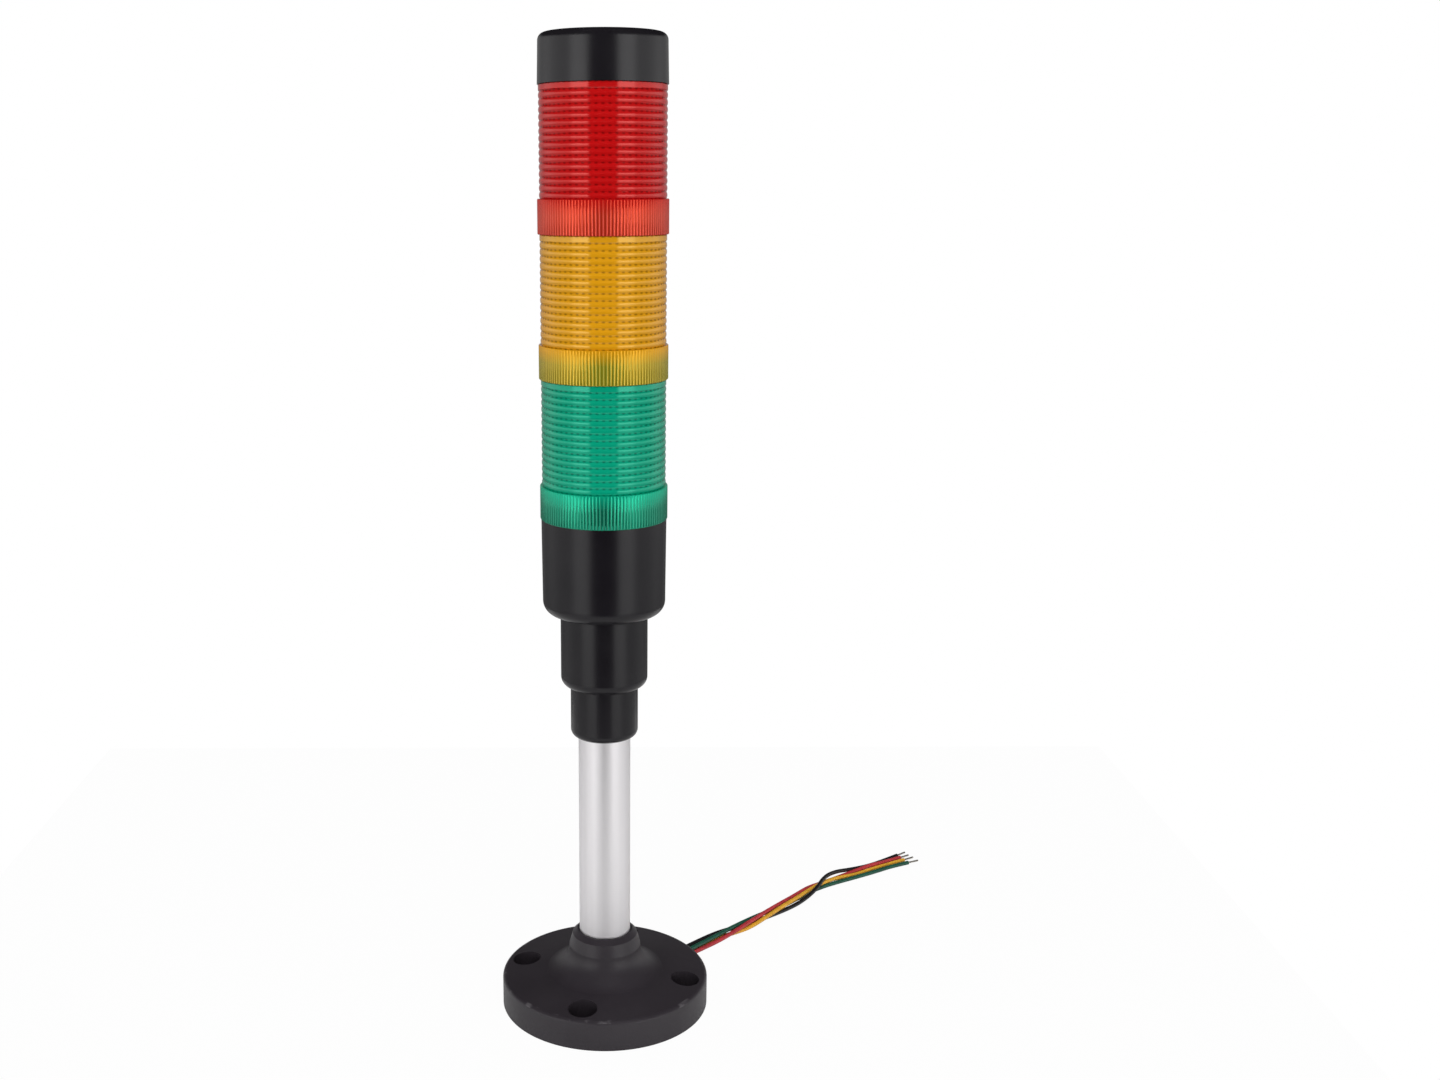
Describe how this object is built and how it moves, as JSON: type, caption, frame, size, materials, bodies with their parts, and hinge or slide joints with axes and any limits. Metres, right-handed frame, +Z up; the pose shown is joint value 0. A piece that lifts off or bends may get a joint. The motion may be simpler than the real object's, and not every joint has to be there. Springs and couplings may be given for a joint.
{
  "type": "stack light",
  "caption": "Pole-mounted stack light with stacked twist-lock coloured lens modules, cap, stepped housing, tube, round bolt-down foot and bare wire leads.",
  "frame": {"origin": "centre of the mounting foot's underside", "axes": "+Z up along the pole, -Y towards the viewer's front, wires leave towards +X +Y"},
  "size_m": [0.2008, 0.1864, 0.39],
  "materials": {
    "foot": "matt moulded",
    "tube": "satin anodised",
    "screws": "plain",
    "housing": "satin moulded",
    "boards": "white solder mask",
    "base_plates": "satin moulded",
    "contacts": "plain",
    "lights": "clear domed",
    "lens_green": "transparent tinted",
    "lens_amber": "transparent tinted",
    "lens_red": "transparent tinted",
    "wire_black": "soft sleeve",
    "wire_green": "soft sleeve",
    "wire_red": "soft sleeve",
    "wire_yellow": "soft sleeve",
    "cores": "tinned strands"
  },
  "bodies": {
    "base": {"mounting_foot": "foot", "pole_tube": "tube", "pole_set_screws": "screws", "base_housing": "housing", "terminal_board": "boards", "board_screws": "screws", "black_wire": "wire_black", "green_wire": "wire_green", "red_wire": "wire_red", "yellow_wire": "wire_yellow", "wire_cores": "cores"},
    "green_module": {"green_lens": "lens_green", "green_base_plate": "base_plates", "green_contacts": "contacts", "green_led_board": "boards", "green_leds": "lights", "green_top_board": "boards"},
    "amber_module": {"amber_lens": "lens_amber", "amber_base_plate": "base_plates", "amber_contacts": "contacts", "amber_led_board": "boards", "amber_leds": "lights", "amber_top_board": "boards"},
    "red_module": {"red_lens": "lens_red", "red_base_plate": "base_plates", "red_contacts": "contacts", "red_led_board": "boards", "red_leds": "lights", "red_top_board": "boards"},
    "cap": {"top_cap": "housing"}
  },
  "joints": [
    {"name": "green_twist", "type": "hinge", "parent": "base", "child": "green_module", "pos_m": [0, 0, 0.2068], "axis": [0, 0, 1], "range_deg": [0, 18]},
    {"name": "amber_twist", "type": "hinge", "parent": "green_module", "child": "amber_module", "pos_m": [0, 0, 0.2617], "axis": [0, 0, 1], "range_deg": [0, 18]},
    {"name": "red_twist", "type": "hinge", "parent": "amber_module", "child": "red_module", "pos_m": [0, 0, 0.3166], "axis": [0, 0, 1], "range_deg": [0, 18]},
    {"name": "cap_twist", "type": "hinge", "parent": "red_module", "child": "cap", "pos_m": [0, 0, 0.3715], "axis": [0, 0, 1], "range_deg": [0, 18]}
  ]
}
